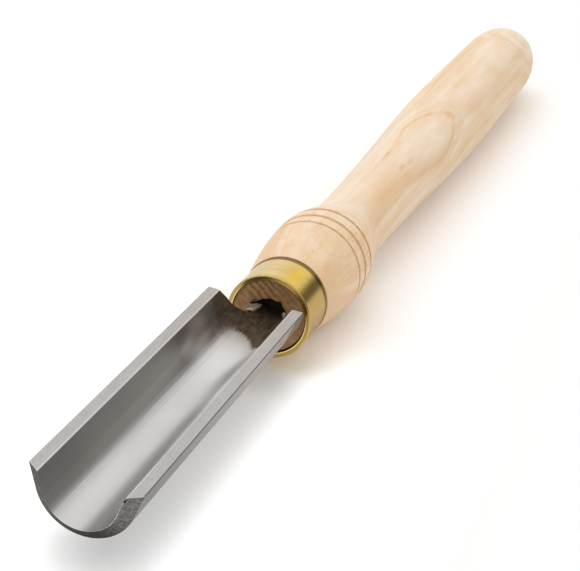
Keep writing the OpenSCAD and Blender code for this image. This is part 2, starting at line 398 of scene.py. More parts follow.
def brushed_steel(settings):
    """Linished steel of the channel, lined along its length, dark and scaly towards the root."""
    shade = Shade("linished_steel")
    place = shade.attribute("flat_place", "Vector")
    along, across, out = shade.split(place)
    bright, wall_steel, outer_steel = settings.bright, settings.wall_steel, settings.outer_steel
    broad = shade.noise(place * (0.006, 1.3, 0), 3, 0.6)
    line = shade.noise(place * (0.018, 6.0, 0), 4, 0.65) * 0.55 + broad * 0.45
    mottle = shade.noise(place * (0.09, 0.16, 0.3), 3)
    # The polish runs out in streaks along an arc before the root, and more softly on the left
    off_centre = across - 4.0
    streak = (shade.noise(place * (0.05, 1.1, 0), 4, 0.7) - 0.5) * across.step(-3, 5, 1.6, 8.0)
    reach = along + shade.math("MINIMUM", off_centre * off_centre * 0.13, 8.0) + streak
    end = -settings.polish_end / MM
    root = shade.blend(across.step(5, 9), reach.step(end - 2.2, end + 1.6), reach.step(end - 9, end + 5))
    shadow = reach.step(end - 26, end) * abs(across).step(11, 16)
    # Long fine lines run along the left edge of the bright round
    lined = shade.noise(place * (0.007, 3.1, 0), 2, 0.6).step(0.50, 0.62, 0, 0.42)
    lined = lined * across.step(5.2, 8.6) * across.step(10, 12, 1, 0)
    polished = shade.mix(line, toned(bright, 0.90), toned(bright, 1.08))
    polished = shade.mix(mottle.step(0.3, 0.8, 0, 0.22), polished, toned(bright, 0.78))
    polished = shade.mix(lined, polished * along.step(-62, -34, 1, 1.2), toned(bright, 0.45))
    # The walls are ground duller, and a painted highlight brightens a patch on the left one near the root
    border = abs(across) + (shade.noise(place * (0.012, 1.7, 0), 3, 0.7) - 0.5) * 5.0
    edge = settings.round_edge / MM
    dull = shade.mix(line, toned(wall_steel, 0.88), toned(wall_steel, 1.12))
    painted_highlight_patch = shade.spot(place, (-40, 15, -settings.wall / 2 / MM), (14, 8, 3))
    # Painted shade darkens the round on the right and towards the nose, and a painted highlight lights the
    # strip beside its wing
    strip = across.step(-4.8, -6.4) * along.step(-105, -85)
    right = across.step(-0.5, -4.5) * along.step(-28, -60) * (1.0 - strip) * 0.32
    nose = across.step(-4, -9) * along.step(-126, -140) * 0.20
    polished = shade.layers(
        polished, (border.step(edge - 1.4, edge + 1.4), dull), (shadow * 0.6, toned(bright, 0.45)),
        (painted_highlight_patch, toned(bright, 1.4)), (right + nose, toned(bright, 0.25)))
    # Painted light: the strip beside the right wing brightened, and the left wall darkened near its top edge
    lit = shade.blend(strip, across.step(13.5, 16, 1, 0.80), along.step(-75, -55, 1.18, 1.40))
    # The root keeps its forge scale, specked with bare spots
    patch = shade.noise(place * (0.25, 0.5, 0.5), 5, 0.7)
    scale = shade.mix(patch.step(0.35, 0.7), toned(settings.scale, 0.62), toned(settings.scale, 1.5))
    distance, chance = shade.cells(place * (1.1, 1.1, 1.1))
    speck = distance.step(0.10, 0.16, 1, 0) * shade.math("GREATER_THAN", chance, 0.90)
    scale = shade.mix(speck * 0.6, scale, (0.26, 0.21, 0.15))
    # The outside is linished dull; painted shade makes it darker towards the nose and lighter towards the
    # tang, and it is warmer towards the root
    outside = out.step(-0.5, 0.5)
    painted_outer_shade = along.step(-settings.reach / MM, -40, 0.58, 1.25)
    painted_outer_shade = painted_outer_shade * along.step(-30, -settings.wing_gap / MM, 1, 2.6)
    outer = shade.mix(line, toned(outer_steel, 0.85), toned(outer_steel, 1.15))
    outer = outer * shade.join(painted_outer_shade, painted_outer_shade ** 0.88, painted_outer_shade ** 0.80)
    outer = outer * shade.join(*[along.step(-60, -32, 1, warm) for warm in (0.92, 0.82, 0.78)])
    colour = shade.mix(root, shade.mix(outside, polished * lit, outer), scale)
    rough = shade.blend(outside, line.ramp(0.3, 0.7, 0.30, 0.40), 0.46)
    rough = shade.blend(root, rough, patch.ramp(0.3, 0.7, 0.42, 0.62))
    normal = shade.bump(shade.blend(root, line, patch * 2.2), 0.02 * MM, 0.55)
    return shade.surface(colour, rough, normal, shade.blend(root, 1.0, 0.55))


def topped_steel(settings):
    """Flat ground steel of the wing tops and the arrises, finely lined across."""
    shade = Shade("ground_steel")
    place = shade.attribute("flat_place", "Vector")
    along, out = shade.split(place)[::2]
    topped, half, arris = settings.topped, settings.wall / 2 / MM, settings.arris / MM
    grain = shade.noise(place * (2.4, 2.4, 2.4), 3, 0.7)
    drift = shade.noise(place * (0.07, 0.3, 0.3))
    blotch = shade.noise(place * (0.55, 0.8, 0.8), 3, 0.65)
    # Painted light on the arrises: a painted shade line on the outer one, and painted highlights on the
    # inner one and along the front
    painted_arris_shade = out.step(half - 1.5 * arris, half - 0.8 * arris)
    rubbed = out.step(0.8 * arris - half, 2.6 * arris - half, 0.6, 0)
    front = along + settings.reach / MM - (out + half) * (1 / math.tan(settings.bevel))
    colour = shade.layers(
        shade.mix(grain.ramp(0.3, 0.7, 0, 1), toned(topped, 0.84), toned(topped, 1.14)),
        (drift.step(0.35, 0.7, 0, 0.3), toned(topped, 0.82)),
        (blotch.step(0.50, 0.68, 0, 0.35), toned(topped, 0.74)),
        (painted_arris_shade, toned(topped, 0.30)),
        (rubbed, toned(topped, 1.6)),
        (front.step(0.12, 0.50, 0.5, 0), toned(topped, 1.5)))
    colour = colour * shade.join(*[along.step(-80, -30, 1, warm) for warm in (0.97, 0.93, 0.88)])
    gap = -settings.wing_gap / MM
    root = along.step(gap, gap + 3)
    rough = grain.ramp(0.3, 0.7, 0.36, 0.46)
    normal = shade.bump(grain, 0.012 * MM, 0.5)
    return shade.surface(shade.mix(root, colour, settings.scale), rough, normal, shade.blend(root, 1.0, 0.6))


def bevel_steel(settings):
    """Coarsely ground bevel: short wheel scratches from the edge to the heel, mottled dark."""
    shade = Shade("bevel_steel")
    place = shade.attribute("flat_place", "Vector")
    across, out = shade.split(place)[1:]
    bevelled, half = settings.bevelled, settings.wall / 2 / MM
    crossed = shade.noise(place * (0.3, 1.4, 3.2), 4, 0.7, 0.6)
    mark = shade.noise(place * (0.3, 4.6, 0.9), 4, 0.7, 0.3) * 0.55 + crossed * 0.45
    mottle = shade.noise(place * (0.5, 0.9, 0.9), 3, 0.6)
    colour = shade.mix(mark.step(0.38, 0.64), toned(bevelled, 0.42), toned(bevelled, 1.70))
    colour = shade.mix(mottle.step(0.42, 0.7, 0, 0.5), colour, toned(bevelled, 0.62))
    # Painted shade: darker on the bottom, which lies away from the light, and a little darker far to the
    # left
    colour = colour * (abs(across).step(4, 17, 0.40, 0.88) * across.step(6, 18, 1, 0.9))
    # Painted highlight along the cutting edge, and painted shade as a dark pit in the nick at the right
    # wing's corner
    painted_edge_highlight = out.step(-half + 0.05, -half + 0.26, 1, 0) * crossed.step(0.40, 0.60, 0.08, 0.85)
    painted_nick_shade = shade.apart(shade.join(across, out), (-settings.pit_place / MM, -half, 0)).step(0.35, 0.75, 1, 0)
    colour = shade.layers(
        colour, (painted_edge_highlight * across.step(-8, 6, 1, 0.35), settings.bright), (painted_nick_shade, (0.012, 0.010, 0.009)))
    rough = shade.blend(painted_nick_shade, mark.ramp(0.3, 0.7, 0.50, 0.36), 0.85)
    normal = shade.bump(mark, 0.03 * MM, 0.6)
    return shade.surface(colour, rough, normal, 1.0 - painted_nick_shade, Specular_Tint=(0.45, 0.44, 0.43, 1))


def turned_brass(settings):
    """Satin brass with fine turning lines round the ring and slight dulling."""
    shade = Shade("turned_brass")
    place = shade.tool_place()
    along, side, up = shade.split(place)
    dull, end = settings.dull, settings.length / MM
    radius = shade.math("SQRT", side * side + up * up)
    line = shade.noise(shade.join(along * 5.0, radius * 5.0, up * 0.12), 4, 0.7)
    turned = shade.noise(shade.join(along * 1.3, up * 0.05), 4, 0.75)
    drift = shade.noise(place * (0.10, 0.16, 0.16), 3)
    # Painted highlight: a bright yellow spot on the upper right
    bright = shade.spot(place, (8.0, -5.2, 13.3), (7.5, 2.6, 2.6))
    # Painted shade darkens the side away from the grip's top, and the front rim
    low = (side + up * -0.15).step(-9.5, -13.5, 0, 0.75)
    # Painted shade across the top of both rims, and a painted highlight on the front one's inner lip
    round_top = shade.math("ARCTAN2", side, up)
    over = round_top.step(-1.55, -1.1) * round_top.step(0.05, 0.7, 1, 0.85)
    edge = along.step(0.45, 1.0, 1, 0) * radius.step(12.95, 13.15) * round_top.step(0.3, 1.1, 0.24, 0.66)
    rear = along.step(end - 2.6, end - 1.8, 0, 0.78)
    # The left side is painted paler as a sheen
    colour = shade.layers(
        shade.mix(side.step(-4.5, 2.5), settings.brass, settings.pale),
        (turned.step(0.36, 0.62, 0.22, 0), dull),
        (bright * 0.85, settings.rubbed),
        (drift.step(0.42, 0.75, 0, 0.20), dull),
        (shade.most(low, along.step(0.25, 0.9, 0.45, 0)), dull),
        (shade.most(edge, rear) * over, settings.olive),
        (radius.step(12.95, 13.1, 0.9, 0) * along.step(1.2, 2.0, 1, 0), settings.pale))
    rough = line.ramp(0.3, 0.7, 0.16, 0.21) + drift * 0.05
    normal = shade.bump(line, 0.008 * MM, 0.6)
    return shade.surface(colour, rough, normal, 1.0, Specular_Tint=(0.78, 0.74, 0.74, 1))


def ash_years(shade, settings, place, along):
    """Years of growth from a set one to each place in the handle, and the place bent as the fibres are."""
    bend = shade.noise(place * (0.011, 0.05, 0.05), 2, 0.4, out="Color") + (-0.5, -0.5, -0.5)
    bent = place + bend * (0, 1.6, 1.6)
    pith = settings.pith_distance / MM
    sine, cosine = math.sin(settings.pith_turn), math.cos(settings.pith_turn)
    height = shade.dot(bent, (0, -sine, cosine)) + pith
    width = shade.dot(bent, (0, cosine, sine))
    distance = shade.math("SQRT", height * height + width * width)
    # The fibres dip along the grip, which closes the years in a long arch there, and rise at the butt
    dip = along.step(90, 152, 0, 1.1) + along.step(164, 214, 0, 5.4) - along.step(321, 334, 0, 6.0)
    return (distance - (pith + settings.year_start / MM) - dip) / (settings.year_width / MM), bent


# Marks in the wood: along the axis, angle from the top towards the left, half length, half width, strength
WOOD_MARKS = (
    (130.5, -28, 6.0, 1.3, 0.55), (139.5, -31, 5.5, 1.2, 0.45), (149.0, 1, 6.0, 1.0, 0.34),
    (136.0, 6, 6.5, 1.0, 0.30), (120.0, -36, 36.0, 8.0, 0.26), (198.0, -46, 14.0, 2.0, 0.34),
    (206.0, -26, 12.0, 6.0, 0.16), (31.0, 28, 4.5, 1.3, 0.34), (24.5, 19, 4.5, 1.3, 0.34),
    (27.0, 13, 5.0, 1.2, 0.28), (25.0, -41, 5.0, 2.2, 0.26), (30.0, -52, 5.0, 2.5, 0.30),
    (36.0, -60, 5.0, 2.2, 0.24), (49.0, -40, 6.0, 6.0, 0.16), (56.0, -55, 6.0, 6.0, 0.16),
)
# A column of open pores on the bulb, given in the same way
POROUS = ((39.5, -1, 5.5, 2.6, 1.0), (33.0, -9, 5.5, 2.6, 1.0), (26.5, -19, 5.5, 2.6, 1.0))


def mark_share(shade, turning, place, mark):
    """The share of a mark at each place."""
    x, turned, half_length, half_width, strength = mark
    turned, radius = math.radians(turned), turning.radius(x * MM) / MM
    centre = (x, radius * math.sin(turned), radius * math.cos(turned))
    return shade.spot(place, centre, (half_length, half_width, half_width)) * strength


def turned_ash(settings, turning):
    """Pale ash: years of growth round a distant pith, rows of open pores, soft fibre streaks."""
    shade = Shade("turned_ash")
    place = shade.tool_place()
    along, side, up = shade.split(place)
    years, bent = ash_years(shade, settings, place, along)
    phase = shade.math("FRACT", years)
    number = shade.math("ROUND", years)
    past = years - number
    # Broad cream and tan zones, drawn out along the grain, then each year's own tone
    zone = shade.noise(shade.join(years * 0.36, along * 0.011), 3)
    broad = shade.noise(place * (0.017, 0.11, 0.11), 3, 0.55)
    fibre = shade.noise(bent * (0.03, 1.6, 1.6), 4, 0.6)
    own = shade.math("SINE", shade.math("FLOOR", years) * 1.9 + 0.9)
    tone = zone.ramp(0.36, 0.66, -0.05, 0.75) + broad.ramp(0.33, 0.67, -0.35, 0.42)
    tone = tone + phase.step(0.1, 0.9, 0.02, 0.11) * own + fibre.ramp(0.3, 0.7, -0.11, 0.11)
    # Painted light: warmer on the right side, and painted shade, tanner towards the collar
    tone = tone + side.step(2, -14, 0.04, 0.20) + along.step(32, 19, 0, 0.30) + along.step(46, 38, 0, 0.26)
    # A soft broken line where each year starts, stronger in some years, faint past the arch and on the bulb
    broken = shade.noise(place * (0.05, 0.30, 0.30), 3, 0.7)
    wave = shade.math("COSINE", number * 1.5)
    later = shade.math("GREATER_THAN", number, 0.5) * along.step(92, 112)
    bulb = along.step(58, 74, 1, 0)
    start = past.step(-0.32, 0.04) * past.step(0.04, 0.5, 1, 0) * broken.step(0.36, 0.62, 0.16, 0.62)
    start = start * wave.step(-0.2, 1.0, 0.10, 1.0) * later.ramp(0, 1, 1, 0.12) * bulb.ramp(0, 1, 1, 0.30)
    start = start * (along + side * 2.0).step(95, 150, 0.45, 1)
    streaky = fibre.ramp(0.35, 0.6, 0.5, 1.0)
    colour = shade.layers(
        shade.mix(tone, settings.cream, settings.tan), (start, settings.year_line),
        *[(mark_share(shade, turning, place, mark) * streaky, settings.year_line) for mark in WOOD_MARKS])
    # Open pores lie along the grain, crowded where a year starts
    crowd = phase.step(0.02, 0.35, 0.55, 0.03)
    for mark in POROUS:
        crowd = shade.most(mark_share(shade, turning, place, mark) * 0.75, crowd)
    distance, chance = shade.cells(bent * (0.36, 2.3, 2.3))
    fleck = distance.step(0.22, 0.46, 1, 0) * shade.math("LESS_THAN", chance, crowd)
    fleck = fleck * bulb.ramp(0, 1, 0.25, 0.85)
    # The scored rings are burnished, and so is some grain that crosses them
    distance, chance = shade.cells(bent * (0.21, 1.25, 1.25))
    dash = distance.step(0.20, 0.40, 1, 0) * shade.math("LESS_THAN", chance, 0.62)
    patchy = shade.noise(place * (1.2, 0.9, 0.9), 3, 0.7)
    colour = shade.layers(
        colour, (fleck * 0.36, settings.pore),
        (dash * shade.attribute("near_rings") * 0.80, settings.year_line),
        (shade.attribute("scored") * patchy.ramp(0.36, 0.60, 0.50, 1.0), settings.scored))
    # End grain: years as soft pale and dark stripes, clearer towards the left
    end_grain = shade.attribute("end_grain")
    grit = shade.noise(place * (2.5, 2.5, 2.5), 4, 0.75)
    lean = shade.dot(place, (0, -math.sin(settings.end_turn), math.cos(settings.end_turn)))
    rings = lean + shade.noise(place * (0.2, 0.15, 0.15)).ramp(0.3, 0.7, -0.55, 0.55)
    stripe = shade.math("COSINE", (rings - 2.0) * (math.tau / 1.93))
    stripe = stripe * (lean.step(-1.0, 2.0) * side.step(-5, 2) * 0.20 + 0.06)
    stripe = stripe + shade.noise(place * (0.5, 0.55, 0.55), 4, 0.6).ramp(0.3, 0.7, 0.12, 0.52)
    stripe = stripe + side.step(2, 9, 0, 0.16) + up.step(1, -7, 0, 0.36) + grit.ramp(0.3, 0.7, -0.16, 0.16)
    # A small pit painted dark as shade, with a pale lip below it, lies beside the mouth
    ends = shade.layers(
        shade.mix(stripe, settings.end_dark, settings.end_light),
        (shade.spot(place, (0.6, 5.6, 3.35), (2, 1.3, 0.55)), (0.50, 0.31, 0.16)),
        (shade.spot(place, (0.6, 5.7, 4.15), (2, 0.95, 0.6)), settings.bore_dark))
    # Inside the bore's mouth and in the gap at the tenon's front: stain with painted shade
    colour = shade.layers(colour, (end_grain, ends), (shade.attribute("inside"), settings.bore_dark))
    rough = fleck * 0.25 + 0.42 + end_grain * 0.35
    height = fibre * 0.35 - fleck + grit * end_grain * 2.0
    return shade.surface(colour, rough, shade.bump(height, 0.05 * MM, 0.5), Specular_IOR_Level=0.35)


def set_adhesive(settings):
    """Set adhesive: pale grey-white, glassy in streaks, darkened down the bore by stain and painted shade.
    """
    shade = Shade("set_adhesive")
    place = shade.tool_place()
    along, side = shade.split(place)[:2]
    base, mouth = settings.colour, settings.mouth_open / MM
    cloud = shade.noise(place * (0.8, 1.3, 1.6), 4, 0.65, 0.6)
    # Stain and painted shade darken the bed down the bore
    deep_stain_and_shade = along.step(mouth * 0.45, mouth * 0.9)
    colour = shade.layers(
        shade.mix(cloud.step(0.32, 0.68), toned(base, 0.76), toned(base, 1.12)),
        (side.step(6.5, 9.0, 0, 0.6), (0.36, 0.235, 0.15)),
        (side.step(-2.0, -3.0, 0, 0.5), (0.16, 0.13, 0.105)),
        (deep_stain_and_shade, toned(base, 0.05)))
    rough = shade.blend(deep_stain_and_shade, cloud.ramp(0.3, 0.7, 0.22, 0.5), 0.8)
    return shade.surface(colour, rough, shade.bump(shade.noise(place * (4, 4, 4), 3, 0.7), 0.06 * MM, 0.6))


def pale_floor(settings):
    """Pale floor, seen near white, whose shade deepens close under the tool."""
    shade = Shade("pale_floor")
    seen = shade.rays("Camera", "Glossy", "Transmission")
    along, side = shade.split(shade.tool_place())[:2]
    by_handle = along.step(-8, 45)
    reach, off = settings.lift_reach / MM, abs(side)
    shaded = shade.get("ShaderNodeAmbientOcclusion", {"Distance": settings.shade_reach}, "AO", samples=16)
    clear = shaded.step(0.50, 0.92)
    tinted = shade.mix(shade.most(clear, 1.0 - by_handle), settings.shade_tint, settings.floor)
    diffuse = shade.get("ShaderNodeBsdfDiffuse", {"Color": shade.mix(seen, settings.floor, tinted)})
    # The lift is strongest beside the blade, fades away from the tool, and makes the far floor white
    lift = shade.blend(by_handle, clear * settings.blade_lift, off.step(20, 46, 0.07, settings.handle_lift))
    lift = shade.most(lift * off.step(0.35 * reach, reach, 1, 0), clear * settings.open_lift)
    apart = shade.apart(shade.join(along, side), (120, 0, 0))
    lift = shade.most(lift, apart.step(320, 700, 0, settings.far_lift))
    glow = shade.get("ShaderNodeEmission", {"Strength": lift * seen})
    both = shade.get("ShaderNodeAddShader", {0: diffuse, 1: glow})
    shade.node("ShaderNodeOutputMaterial", {"Surface": both})
    return shade.material


def shift(row):
    """A closed row, one place on."""
    return row[1:] + row[:1]


def point_rows(count, start, end):
    """Rows of so many point numbers each."""
    return [list(range(low, low + count)) for low in range(start, end, count)]


def tube(rows):
    """Faces between closed rows of points, from each row to the next."""
    return [face for low, high in zip(rows, rows[1:]) for face in zip(low, shift(low), shift(high), high)]


def fan(row, tip):
    """Faces from a closed row of points to one point."""
    return [(i, j, tip) for i, j in zip(row, shift(row))]


def angles(count):
    """Angles round a circle."""
    return [math.tau * i / count for i in range(count)]


def spaced(start, end, count):
    """Even places after start, up to end."""
    return [start + (end - start) * i / count for i in range(1, count + 1)]


def new_mesh(name, points, faces):
    mesh = bpy.data.meshes.new(name)
    mesh.from_pydata(points, [], faces)
    return mesh


def new_object(name, data):
    made = bpy.data.objects.new(name, data)
    bpy.context.scene.collection.objects.link(made)
    return made


def new_piece(name, points, faces, material_slot, *materials):
    """A mesh object in the row frame. Its points are given from the ferrule's rim and the tool's axis."""
    mesh = new_mesh(name, [(x + RIM_X, y, z + AXIS_Z) for x, y, z in points], faces)
    mesh.validate()
    piece = new_object(name, mesh)
    mesh.shade_smooth()
    mesh.set_sharp_from_angle(angle=SHARP_ANGLE)
    for made in materials:
        mesh.materials.append(made)
    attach(piece, BODY)
    return piece


def point_attribute(piece, name, kind, key, values):
    """Writes one value for each point of a piece."""
    made = piece.data.attributes.new(name, kind, "POINT")
    for item, value in zip(made.data, values):
        setattr(item, key, value)


class Channel:
    """The blade's channel about the tool's axis. s runs across the middle of its wall, n out of it."""

    def __init__(self, sizes):
        self.sizes = sizes
        lean = sizes.flare
        outer = (sizes.width / 2 * math.cos(lean) - sizes.depth * math.sin(lean)) / (1 - math.sin(lean))
        self.half_wall = sizes.wall / 2
        self.middle = outer - self.half_wall
        self.centre_z = outer - sizes.drop
        self.top_z = sizes.depth - sizes.drop
        self.turn = math.pi / 2 - lean
        bend_top = self.centre_z - self.middle * math.cos(self.turn)
        self.wing_s = self.middle * self.turn + (self.top_z - bend_top) / math.cos(lean)
        self.tang_s = self.middle * math.asin(sizes.tang_width / 2 / self.middle)
        self.tip_s = self.middle * math.asin(sizes.tang_tip / 2 / self.middle)
        # The shoulder's straight slope on the flat pattern, and the arc that meets the tang
        slope, radius = sizes.shoulder_angle, sizes.shoulder_radius
        self.arc_s = self.tang_s + radius
        self.join_s = self.arc_s - radius * math.cos(slope)
        self.join_x = -sizes.wing_gap + (self.wing_s - self.join_s) / math.tan(slope)
        self.arc_x = self.join_x + radius * math.sin(slope)

    def across(self, s, n):
        """(y, z) of a place in the wall."""
        turned = min(abs(s) / self.middle, self.turn)
        run = max(abs(s) - self.middle * self.turn, 0)
        radius = self.middle + n
        y = radius * math.sin(turned) + run * math.sin(self.sizes.flare)
        z = self.centre_z - radius * math.cos(turned) + run * math.cos(self.sizes.flare)
        return math.copysign(y, s), z

    def front(self, s, n):
        """x of the ground nose: the cutting edge inside, the bevel's heel outside."""
        z = self.across(s, -self.half_wall)[1]
        edge = -self.sizes.reach + math.tan(self.sizes.nose_lean) * (self.top_z - z)
        return edge + (n + self.half_wall) / math.tan(self.sizes.bevel)

    def nose(self, s, n):
        """(x, s, n) of a place on the nose, where the cutting edge is ragged and nicked."""
        sizes = self.sizes
        near_edge = max(0, 1 - (n + self.half_wall) / (0.6 * MM))
        to_right = min(1, max(0.15, -s / (0.5 * sizes.pit_place)))
        ragged = noise.noise(Vector((s * 1400, 3.1, 0))) * 0.5 + noise.noise(Vector((s * 500, 8.7, 0))) * 0.5
        notch = math.exp(-((s + sizes.pit_place) / (0.4 * MM)) ** 2) * sizes.nick
        return self.front(s, n) + near_edge * (ragged * sizes.ragged * to_right + notch), s, n

    def half_width(self, x):
        """Half width of the flat pattern at x, on the middle of the wall."""
        sizes = self.sizes
        if x <= -sizes.wing_gap:
            return self.wing_s
        if x <= self.join_x:
            return self.wing_s - (x + sizes.wing_gap) * math.tan(sizes.shoulder_angle)
        if x <= self.arc_x:
            return self.arc_s - math.sqrt(max(0, sizes.shoulder_radius ** 2 - (x - self.arc_x) ** 2))
        taper = max(0, x - sizes.tang_straight) / (sizes.tang_length - sizes.tang_straight)
        return self.tang_s + (self.tip_s - self.tang_s) * taper

    def top_slant(self, x):
        """How much further out the wall's top lies for each unit of n: level wing tops, then square cuts."""
        fade = min(1, max(0, (x + self.sizes.wing_gap) / (4 * MM)))
        return math.tan(self.sizes.flare) * (1 - fade)


BLADE_COLUMNS = 120
WING_RINGS = 30
SHOULDER_RINGS = 44
TANG_RINGS = 14
TOP_COLUMNS = 4


def blade_ring(channel, x):
    """(s, n) of the points round one section of the blade: outside, right top, inside, left top."""
    arris, half = channel.sizes.arris, channel.half_wall
    width, slant = channel.half_width(x), channel.top_slant(x)
    outer = width + half * slant - arris
    inner = width - half * slant - arris
    shares = [2 * i / BLADE_COLUMNS - 1 for i in range(BLADE_COLUMNS + 1)]
    heights = [half - arris - (2 * half - 2 * arris) * i / TOP_COLUMNS for i in range(TOP_COLUMNS + 1)]
    ring = [(-outer * u, half) for u in shares]
    ring += [(-width - n * slant, n) for n in heights]
    ring += [(inner * u, -half) for u in shares]
    return ring + [(width + n * slant, n) for n in reversed(heights)]


def blade_stations(channel):
    """x of each section behind the ground nose."""
    start, gap, end = -channel.sizes.reach, -channel.sizes.wing_gap, channel.sizes.tang_length
    return (spaced(start, gap, WING_RINGS) + spaced(gap, channel.arc_x, SHOULDER_RINGS) +
            spaced(channel.arc_x, end, TANG_RINGS))


def nose_rows(channel, flat):
    """Adds points over the ground bevel, and gives its rows from the outside's front row to the inside's."""
    columns, tops = BLADE_COLUMNS, TOP_COLUMNS
    right = columns + 1
    inside = right + tops + 1
    left = inside + columns + 1
    rows = [list(range(columns + 1))]
    for t in range(tops + 1):
        wing, n = flat[right + t][1:]
        start = len(flat)
        flat += [channel.nose(wing * (2 * i / columns - 1), n) for i in range(1, columns)]
        rows.append([left + tops - t, *range(start, len(flat)), right + t])
    return rows + [[inside + columns - i for i in range(columns + 1)]]


def blade_geometry(channel):
    """Points as places on the flat pattern, faces, and each face's finish: linished, ground top or bevel."""
    reach = channel.sizes.reach
    rings = [[channel.nose(s, n) for s, n in blade_ring(channel, -1)]]
    for x in blade_stations(channel):
        fade = 1 - min(1, (x + reach) / (reach - channel.sizes.wing_gap))
        rings.append([(x + (channel.front(s, n) + reach) * fade, s, n) for s, n in blade_ring(channel, x)])
    flat = [place for ring in rings for place in ring]
    rows = point_rows(len(rings[0]), 0, len(flat))
    faces = [face for low, high in zip(rows, rows[1:]) for face in zip(low, high, shift(high), shift(low))]
    finish = ([0] * BLADE_COLUMNS + [1] * (TOP_COLUMNS + 2)) * 2 * (len(rings) - 1)
    bevel = nose_rows(channel, flat)
    for upper, lower in zip(bevel, bevel[1:]):
        faces += zip(upper, upper[1:], lower[1:], lower)
        finish += [2] * BLADE_COLUMNS
    return flat, faces + [rows[-1][::-1]], finish + [0]


def make_blade(sizes):
    """The forged blade with its tang, ground bevel and small flats on its arrises."""
    channel = Channel(sizes)
    flat, faces, finish = blade_geometry(channel)
    points = [(x, *channel.across(s, n)) for x, s, n in flat]
    steels = brushed_steel(sizes), topped_steel(sizes), bevel_steel(sizes)
    piece = new_piece("blade_forging", points, faces, "steel", *steels)
    for face, kind in zip(piece.data.polygons, finish):
        face.material_index = kind
    places = [(x / MM, s / MM, n / MM) for x, s, n in flat]
    point_attribute(piece, "flat_place", "FLOAT_VECTOR", "vector", places)
    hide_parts("blade")


class BuildTree(Nodes):
    """A Geometry Nodes tree with named inputs."""

    def __init__(self, name, inputs):
        super().__init__(bpy.data.node_groups.new(name, "GeometryNodeTree"))
        self.ids = {}
        for label, kind in (("Geometry", "Geometry"), *inputs, ("Material", "Material")):
            socket = self.tree.interface.new_socket(label, in_out="INPUT", socket_type="NodeSocket" + kind)
            self.ids[label] = socket.identifier
        self.tree.interface.new_socket("Geometry", in_out="OUTPUT", socket_type="NodeSocketGeometry")
        self.given = self.tree.nodes.new("NodeGroupInput")

    def take(self, label):
        return Value(self, self.given.outputs[label])

    def finish(self, geometry):
        """Ends the tree in real geometry with its material."""
        real = self.get("GeometryNodeRealizeInstances", {0: geometry})
        worn = self.get("GeometryNodeSetMaterial", {"Geometry": real, "Material": self.take("Material")})
        self.node("NodeGroupOutput", {0: worn})
        return self

    def build(self, name, values, material_slot, base=None):
        """Runs the tree on a new object and returns it as a plain mesh piece."""
        piece = new_object(name, base or bpy.data.meshes.new(name))
        modifier = piece.modifiers.new("build", "NODES")
        modifier.node_group = self.tree
        for label, value in values.items():
            modifier[self.ids[label]] = value
        evaluated = piece.evaluated_get(bpy.context.evaluated_depsgraph_get())
        made = bpy.data.meshes.new_from_object(evaluated)
        piece.modifiers.remove(modifier)
        piece.data = made
        made.name = name
        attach(piece, BODY)
        return piece


def ring_tree():
    """A turned ring: a rectangle with rounded corners, swept round the tool's axis."""
    tree = BuildTree("Turned ring", (
        ("Diameter", "Float"), ("Length", "Float"), ("Wall", "Float"), ("Edge round", "Float"),
        ("Step", "Float"), ("Segments", "Int"), ("Place", "Vector")))
    get, take = tree.get, tree.take
    sides = {"Width": take("Wall"), "Height": take("Length")}
    section = get("GeometryNodeCurvePrimitiveQuadrilateral", sides)
    rounded = get(
        "GeometryNodeFilletCurve", {"Curve": section, "Radius": take("Edge round"), "Count": 8}, mode="POLY")
    even = get("GeometryNodeResampleCurve", {"Curve": rounded, "Length": take("Step")}, mode="LENGTH")
    middle = (take("Diameter") - take("Wall")) * 0.5
    path = get("GeometryNodeCurvePrimitiveCircle", {"Resolution": take("Segments"), "Radius": middle})
    swept = get("GeometryNodeCurveToMesh", {"Curve": path, "Profile Curve": even})
    laid = get("GeometryNodeTransform", {
        "Geometry": swept, "Translation": take("Place"), "Rotation": (0, math.pi / 2, 0)})
    return tree.finish(get("GeometryNodeSetShadeSmooth", {"Geometry": laid}))


def make_ferrule(sizes):
    """The brass ring pressed on the handle's tenon."""
    values = {
        "Diameter": sizes.diameter,
        "Length": sizes.length,
        "Wall": sizes.wall,
        "Edge round": sizes.edge_round,
        "Step": 0.15 * MM,
        "Segments": sizes.segments,
        "Place": (RIM_X + sizes.length / 2, 0, AXIS_Z),
        "Material": turned_brass(sizes),
    }
    piece = ring_tree().build("ferrule_ring", values, "brass")
    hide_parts("ferrule")


def ease(t):
    """A smooth step from 0 to 1, level at both ends."""
    return (1 - math.cos(math.pi * t)) / 2


